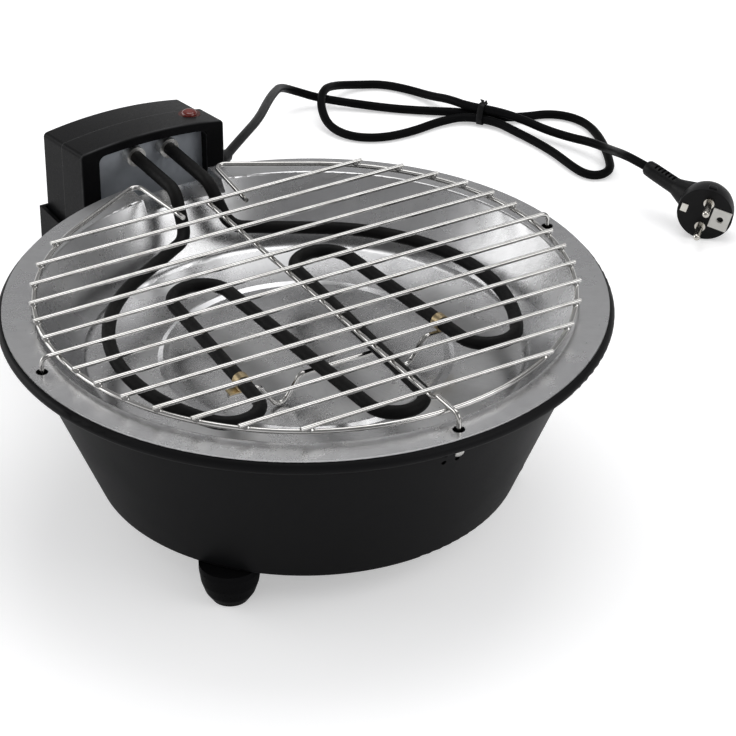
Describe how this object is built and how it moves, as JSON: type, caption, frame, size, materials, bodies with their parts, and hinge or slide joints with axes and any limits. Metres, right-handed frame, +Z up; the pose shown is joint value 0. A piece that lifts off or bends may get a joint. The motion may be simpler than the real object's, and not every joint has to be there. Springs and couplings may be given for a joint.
{
  "type": "electric table grill",
  "caption": "Round electric table grill: black bowl on feet, bright drip pan, serpentine element with a plug-in control box, lift-off wire rack, folded mains lead.",
  "frame": {"origin": "on the table, under the middle of the object's box without its lead and plug", "axes": "+Z up, +Y from the bowl towards the control box, +X to the side with the lamp and the lead"},
  "size_m": [0.5954, 0.6409, 0.1558],
  "materials": {
    "black_enamel": "satin",
    "black_plastic": "satin",
    "screw_steel": "bright",
    "pan_steel": "galvanised",
    "wire_chrome": "polished",
    "element_black": "matt",
    "plate_steel": "satin",
    "clip_brass": "satin",
    "lens_red": "clear tinted",
    "lamp_glass": "clear",
    "ring_plastic": "satin",
    "pale_plastic": "satin",
    "lead_rubber": "satin",
    "plug_plastic": "satin",
    "pin_nickel": "nickel plated"
  },
  "bodies": {
    "base": {"outer_bowl": "black_enamel", "foot_left": "black_plastic", "foot_right": "black_plastic", "foot_rear": "black_plastic", "foot_screws": "screw_steel", "box_socket": "black_plastic", "socket_screws": "screw_steel", "cord_hank": "lead_rubber", "cord_tie": "black_plastic", "plug_body": "plug_plastic", "plug_core": "pale_plastic", "plug_pins": "pin_nickel", "pin_collars": "pin_nickel", "earth_clips": "pin_nickel"},
    "pan": {"drip_pan": "pan_steel"},
    "heater": {"heating_element": "element_black", "element_support": "wire_chrome", "support_clips": "clip_brass", "heat_shield": "plate_steel", "element_ferrules": "plate_steel", "front_frame": "black_plastic", "rear_shell": "black_plastic", "case_screws": "screw_steel", "signal_lens": "lens_red", "lens_ring": "ring_plastic", "neon_lamp": "lamp_glass", "terminal_block": "pale_plastic", "thermal_cutout": "screw_steel", "micro_switch": "black_plastic", "cord_clamp": "black_plastic", "lead_wires": "clip_brass", "cord_gland": "black_plastic", "lead_cord": "lead_rubber"},
    "plunger": {"safety_plunger": "pale_plastic"},
    "rack": {"rack_ring": "wire_chrome", "rack_brace": "wire_chrome", "hook_bar": "wire_chrome", "rack_bar_01": "wire_chrome", "rack_bar_02": "wire_chrome", "rack_bar_03": "wire_chrome", "rack_bar_04": "wire_chrome", "rack_bar_05": "wire_chrome", "rack_bar_06": "wire_chrome", "rack_bar_07": "wire_chrome", "rack_bar_08": "wire_chrome", "rack_bar_09": "wire_chrome", "rack_bar_10": "wire_chrome", "rack_bar_11": "wire_chrome", "rack_bar_12": "wire_chrome", "rack_bar_13": "wire_chrome"}
  },
  "joints": [
    {"name": "pan_lift", "type": "slide", "parent": "base", "child": "pan", "axis": [0, 0, 1], "range_m": [0, 0.06], "deforming": ["lead_cord"]},
    {"name": "heater_lift", "type": "slide", "parent": "pan", "child": "heater", "axis": [0, 0, 1], "range_m": [0, 0.06], "deforming": ["lead_cord"]},
    {"name": "rack_lift", "type": "slide", "parent": "heater", "child": "rack", "axis": [0, 0, 1], "range_m": [0, 0.06]},
    {"name": "plunger_press", "type": "slide", "parent": "heater", "child": "plunger", "axis": [0, 0, 1], "range_m": [0, 0.0015], "stiffness_N_per_m": 200, "springref_m": -0.002}
  ]
}
